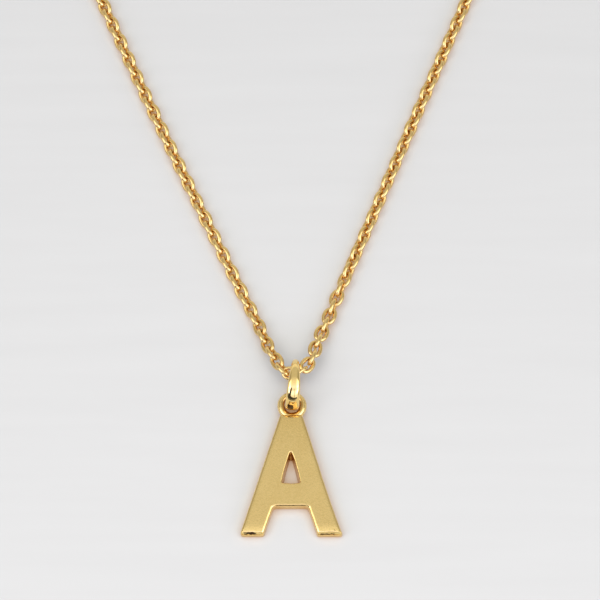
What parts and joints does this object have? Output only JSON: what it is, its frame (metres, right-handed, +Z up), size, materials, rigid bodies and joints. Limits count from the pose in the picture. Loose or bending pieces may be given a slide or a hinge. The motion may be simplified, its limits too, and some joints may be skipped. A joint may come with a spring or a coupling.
{
  "type": "initial pendant necklace",
  "caption": "Flat capital letter A pendant with an eye and an upright ring bail, on a fine trace chain closed by a ring clasp, lying flat as a loop.",
  "frame": {"origin": "on the table under the middle of the necklace, laid out as an open loop", "axes": "+Z up from the table; +Y from the letter's foot along the necklace to the clasp; +X to the right of the letter as it is read"},
  "size_m": [0.0921, 0.1911, 0.0063],
  "materials": {
    "letter_gold": "satin gold plate",
    "polished_gold": "polished gold plate",
    "chain_gold": "bright tumbled gold plate"
  },
  "bodies": {
    "root": {"letter": "letter_gold", "bail": "polished_gold", "chain": "chain_gold", "clasp": "polished_gold", "end_ring": "polished_gold"}
  },
  "joints": []
}
